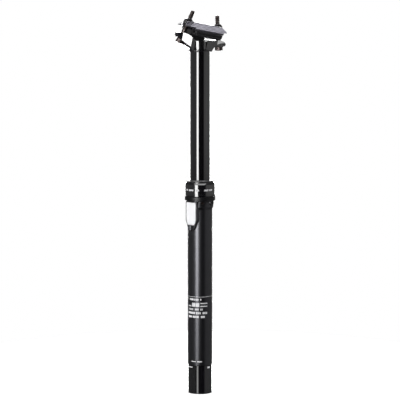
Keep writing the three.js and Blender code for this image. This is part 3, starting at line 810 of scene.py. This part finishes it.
def upper_clamp():
    half = [
        (15, 18.8), (15, CLAMP_SPLIT + SPLIT_GAP), (28.2, CLAMP_SPLIT + SPLIT_GAP), (FLANGE_HALF, 16.8),
        (FLANGE_HALF, 18.2), (22.9, 25.4), (20.5, 26.1), (14.5, 26.4),
    ]
    body = prism("upper_clamp_finished", rounded(half + mirrored(half), 0.5),
                 -CLAMP_HALF_LENGTH, CLAMP_HALF_LENGTH, "X")
    ends = [
        [(17, 27), (17, 30), (32, 30), (32, 14)],
        [(19.8, 10), (19.8, 17.6), (20.8, 19.2), (32, 19.8), (32, 10)],
        [(-17, 27), (-17, 30), (-32, 30), (-32, 14)],
        [(-17.6, 10), (-17.6, 19.4), (-32, 19.4), (-32, 10)],
    ]
    bevelled(cut(body, *[prism("end", outline, -BEYOND, BEYOND, "Y") for outline in ends]), 0.4, 3, 50)
    cut(body, *flange_grooves())
    joined(body, nut_ear(-1), nut_ear(1))
    tools = [rail_channel(-1), *nut_cuts(-1), rail_channel(1), *nut_cuts(1)]
    return moved(cut(body, *tools), HEAD_FRAME)


def lower_clamp():
    top = CLAMP_SPLIT - SPLIT_GAP
    body = bevelled(prism("lower_clamp_finished", rounded([
        (LOWER_CLAMP_FRONT, top), (LOWER_CLAMP_REAR + 0.5, top), (LOWER_CLAMP_REAR, 11.6), (-15.6, 9.4),
        (14.5, 8.9), (17.4, 10.2), (LOWER_CLAMP_FRONT - 0.2, 12.6),
    ], 1), -FLANGE_HALF, FLANGE_HALF, "Y"), 0.6, 3, 50)
    cut(body, block("underside", (-BEYOND, -14, 0), (BEYOND, 14, KEEL_TOP)))
    keel = prism("keel", [
        (18, top), (-17, top),
        *arc((0, CRADLE_CENTRE), CRADLE_RADIUS, cradle_angle(-17, CRADLE_RADIUS),
             cradle_angle(KEEL_END, CRADLE_RADIUS), 24),
        (KEEL_END, KEEL_TOP), (18, KEEL_TOP),
    ], -KEEL_HALF, KEEL_HALF, "Y")
    joined(body, bevelled(keel, 0.4, 2, 50))
    tools = [rail_channel(-1), rail_channel(1), block("hollow", (-9, -5.4, 12), (9, 5.4, 20))]
    for side in (-1, 1):
        end = sorted((side * 16.8, side * BEYOND))
        tools.append(block("end", (end[0], -10.1, 0), (end[1], 10.1, BEYOND)))
        tools.append(rod_along("rib", "X", 0.9, -BEYOND, BEYOND, (side * (FLANGE_HALF + 0.3), 12.3)))
    return moved(cut(body, *tools), HEAD_FRAME)


def thread_radius(z, angle):
    """A rounded V thread on the bolt, fading in where it starts and tapering at the tip."""
    phase = (z / THREAD_PITCH - angle / (2 * math.pi)) % 1
    valley = 1 - abs(2 * phase - 1)
    depth = THREAD_DEPTH * min(1, max(0, (z - THREAD_START) / THREAD_PITCH))
    taper = max(0, z - (BOLT_LENGTH - 0.7)) * 0.8
    return BOLT_RADIUS - depth * valley - taper


def knurled_radius(z, angle):
    """The bolt's head, with straight knurling between its plain edges."""
    edge = min(BOLT_HEAD_TOP - z, z - BOLT_HEAD_BOTTOM)
    rim = 0.4 * max(0, 1 - edge / 0.4) ** 2
    ridge = 0.1 * (1 + math.cos(KNURLS * angle)) / 2 if edge > 0.5 else 0
    return BOLT_HEAD_RADIUS - rim - ridge


def clamp_bolt(name):
    edges = (0, 0.1, 0.25, 0.4, 0.6, 0.65)
    head_levels = [BOLT_HEAD_BOTTOM + e for e in edges] + [BOLT_HEAD_TOP - e for e in reversed(edges)]
    head = shaft(name, head_levels, knurled_radius, 240)
    socket = rod_along("socket", "Z", 2.6, BOLT_HEAD_BOTTOM - 1, BOLT_HEAD_BOTTOM + 2.5, sides=6)
    cut(head, socket)
    step = THREAD_PITCH / 10
    count = math.ceil((BOLT_LENGTH - THREAD_START) / step)
    levels = [BOLT_HEAD_TOP - 0.2, THREAD_START - 0.1]
    levels += [THREAD_START + (BOLT_LENGTH - THREAD_START) * i / count for i in range(count + 1)]
    return joined(head, shaft("thread", levels, thread_radius, 36))


def bolt_washer(name):
    flat = math.degrees(math.asin((WASHER_CENTRE - BOLT_HEAD_TOP - 0.05) / WASHER_RADIUS))
    outline = arc((0, WASHER_CENTRE), WASHER_RADIUS, -flat, 180 + flat, 40)
    half = WASHER_LENGTH / 2
    washer = bevelled(prism(name, outline, -half, half, "Y"), 0.25, 2)
    return cut(washer, rod_along("bolt_hole", "Z", BOLT_RADIUS + GAP, -8, 16))


def barrel_nut(name):
    nut = bevelled(rod_along(name, "Y", NUT_RADIUS, -NUT_HALF, NUT_HALF), 0.8, 3, 60)
    return cut(nut, rod_along("thread_hole", "Z", BOLT_RADIUS + 0.1, -8, 8))


# ---------------------------------------------------------------- assembly


def place_tubes():
    place(outer_tube(), "post", "satin_black", SATIN_BLACK, "outer_tube", crease=30)
    place(flange_band(), "post", "satin_black", BAND_BLACK)
    place(cover(), "post", "plate", PLATE, "actuator_cover")
    place(cable_stop(), "post", "black_steel", BOLT_BLACK, "cable_stop")
    place(collar(), "post", "gloss_black", COLLAR_BLACK, "collar")
    place(wiper(), "post", "rubber", RUBBER, "wiper_seal")
    place(mast(), "mast", "gloss_black", GLOSS_BLACK, "mast_tube")
    place(tube_markings(), "post", "satin_black", MARKING)
    place(foot_markings(), "post", "gloss_black", MARKING)
    place(collar_markings(), "post", "gloss_black", MARKING)
    lock_screws()


def place_head():
    place(seat_head(), "mast", "forged_black", HEAD_BLACK, "seat_head", faceted=True)
    place(upper_clamp(), "saddle_clamp", "forged_grey", CLAMP_GREY, "upper_clamp", faceted=True)
    place(lower_clamp(), "saddle_clamp", "forged_black", CLAMP_BLACK, "lower_clamp", faceted=True)
    for side, end in ((1, "front"), (-1, "rear")):
        along = bolt_frame(side)
        nut_centre = in_mm(joints[f"{end}_nut_turn"]["pos_m"])
        nut_frame = Matrix.Translation(nut_centre - along.translation) @ along
        bolt = moved(clamp_bolt(f"{end}_bolt_finished"), along)
        place(bolt, f"{end}_bolt", "black_steel", BOLT_BLACK, f"{end}_clamp_bolt", crease=50)
        washer = moved(bolt_washer(f"{end}_washer_finished"), along)
        place(washer, f"{end}_bolt", "black_steel", BOLT_BLACK, f"{end}_bolt_washer")
        nut = moved(barrel_nut(f"{end}_nut_finished"), nut_frame)
        place(nut, f"{end}_nut", "black_steel", NUT_BLACK, f"{end}_barrel_nut")


CARRIED_OVER = {
    "foot_sleeve": GLOSS_BLACK,
    "upper_bushing": POLYMER,
    "lower_bushing": POLYMER,
    "roller_cage": POLYMER,
    "clutch_sleeve": STEEL,
    "piston_rod": STEEL,
    "rod_nut": STEEL,
    "valve_pin": STEEL,
    "valve_lever": STEEL,
    "lever_pin": STEEL,
    "lever_spring": STEEL,
    "piston": ALLOY,
    "cartridge_tube": ALLOY,
    "cartridge_cap": ALLOY,
    "seal_head": ALLOY,
    "retaining_nut": ALLOY,
    "floating_piston": ALLOY,
    "cable_spool": ALLOY,
    "spool_screw": BOLT_BLACK,
    "cable_clamp_screw": BOLT_BLACK,
    "link_cord": CORD,
}
CARRIED_OVER.update({f"clutch_roller_{i}": STEEL for i in range(1, 9)})
CARRIED_OVER.update({f"guide_key_{i}": BRASS for i in range(1, 4)})


def finish_carried_over():
    """CAD parts that keep their own shape get their materials."""
    for node, material in CARRIED_OVER.items():
        part = frame["nodes"][node]
        part.data.materials.clear()
        part.data.materials.append(material)
        part.data.shade_smooth()
        part.data.set_sharp_from_angle(angle=math.radians(30))


# ---------------------------------------------------------------- stage and light


def area_light(name, shape, size, energy):
    data = bpy.data.lights.new(name, "AREA")
    data.shape = shape
    data.size = size
    data.energy = energy
    lamp = bpy.data.objects.new(name, data)
    bpy.context.scene.collection.objects.link(lamp)
    lamp.visible_camera = False
    return lamp


def add_panel(name, bearing, distance, width, low, high, radiance):
    """An upright soft light that only reflections show. Its bearing is from the camera's, in degrees."""
    panel = area_light(name, "RECTANGLE", width, radiance * math.pi * width * (high - low))
    panel.data.size_y = high - low
    back = toward(CAMERA_AZIMUTH + math.radians(bearing), 0)
    panel.location = distance * back + Vector((0, 0, (low + high) / 2))
    panel.rotation_euler = back.to_track_quat("Z", "Y").to_euler()
    panel.visible_diffuse = False


def add_overhead(size, height, energy):
    area_light("overhead", "DISK", size, energy).location = (0, 0, height)


def add_fill(bearing, distance, height, size, radiance):
    """A soft light from one side that lights pale surfaces and that no surface mirrors."""
    lamp = area_light("fill", "DISK", size, radiance * math.pi ** 2 * (size / 2) ** 2)
    back = toward(CAMERA_AZIMUTH + math.radians(bearing), 0)
    lamp.location = distance * back + Vector((0, 0, height))
    lamp.rotation_euler = lamp.location.to_track_quat("Z", "Y").to_euler()
    lamp.visible_glossy = False


def add_floor():
    floor = rod_along("floor", "Z", FLOOR_RADIUS, -4, 0, sides=96)
    floor.data.transform(Matrix.Scale(MM, 4))
    floor.data.materials.append(finish("pale_floor", (0.88, 0.9), (0.8, 0.9), patch=3, grain=60))
    floor.visible_glossy = False


# How bright the room is that the object mirrors, by bearing from the camera in degrees.
ROOM = (
    (-180, 0.2), (-147, 0.28), (-110, 0.4), (-67, 0.55), (-45, 0.6), (-38, 0.04),
    (42, 0.03), (49, 1.0), (86, 1.0), (102, 0.72), (125, 0.45), (180, 0.2),
)

# How the room fades with height, by the sine of the angle above the horizon.
ROOM_FADE = ((-0.24, 0.35), (-0.08, 1.0), (0.05, 1.0), (0.15, 0.35))


def room_by_bearing(tree, coordinates):
    gradient = tree.nodes.new("ShaderNodeTexGradient")
    gradient.gradient_type = "RADIAL"
    mapping = tree.nodes.new("ShaderNodeMapping")
    mapping.inputs["Rotation"].default_value = (0, 0, math.pi / 2 - CAMERA_AZIMUTH)
    tree.links.new(coordinates, mapping.inputs["Vector"])
    tree.links.new(mapping.outputs["Vector"], gradient.inputs["Vector"])
    return ramp(tree, gradient.outputs["Fac"], [(0.5 + at / 360, level) for at, level in ROOM])


def room_by_height(tree, coordinates):
    split = tree.nodes.new("ShaderNodeSeparateXYZ")
    tree.links.new(coordinates, split.inputs["Vector"])
    raised = tree.nodes.new("ShaderNodeMath")
    raised.inputs[1].default_value = 0.5
    tree.links.new(split.outputs["Z"], raised.inputs[0])
    return ramp(tree, raised.outputs["Value"], [(0.5 + at, level) for at, level in ROOM_FADE])


def add_world():
    """A pale room that is white behind the object and darker where the object mirrors it."""
    world = bpy.data.worlds.new("studio")
    world.use_nodes = True
    bpy.context.scene.world = world
    tree = world.node_tree
    tree.nodes.clear()
    output = tree.nodes.new("ShaderNodeOutputWorld")
    shown = tree.nodes.new("ShaderNodeBackground")
    shown.inputs["Color"].default_value = (1, 1, 1, 1)
    mirrored_room = tree.nodes.new("ShaderNodeBackground")
    coordinates = tree.nodes.new("ShaderNodeTexCoord").outputs["Generated"]
    shaded = tree.nodes.new("ShaderNodeMix")
    shaded.data_type = "RGBA"
    shaded.blend_type = "MULTIPLY"
    shaded.inputs["Factor"].default_value = 1.0
    tree.links.new(room_by_bearing(tree, coordinates), shaded.inputs["A"])
    tree.links.new(room_by_height(tree, coordinates), shaded.inputs["B"])
    tree.links.new(shaded.outputs["Result"], mirrored_room.inputs["Color"])
    paths = tree.nodes.new("ShaderNodeLightPath")
    mix = tree.nodes.new("ShaderNodeMixShader")
    tree.links.new(paths.outputs["Is Camera Ray"], mix.inputs["Fac"])
    tree.links.new(mirrored_room.outputs["Background"], mix.inputs[1])
    tree.links.new(shown.outputs["Background"], mix.inputs[2])
    tree.links.new(mix.outputs["Shader"], output.inputs["Surface"])


def add_lights():
    add_panel("strip_high", -27.5, 1.5, 0.58, 0.02, 1.5, 24)
    add_panel("strip_middle", -27, 1.5, 0.62, -0.17, 0.02, 17)
    add_panel("strip_low", -28, 1.5, 0.5, -0.5, -0.17, 5.5)
    add_panel("back_strip", 180, 1.8, 0.6, -0.5, 1, 20)
    add_overhead(2.6, 2.4, 110)
    add_fill(-60, 2, 0.9, 1.2, 6)


place_tubes()
place_head()
finish_carried_over()
add_floor()
add_world()
add_lights()
bpy.context.scene.view_settings.view_transform = "Standard"

bpy.context.view_layer.update()
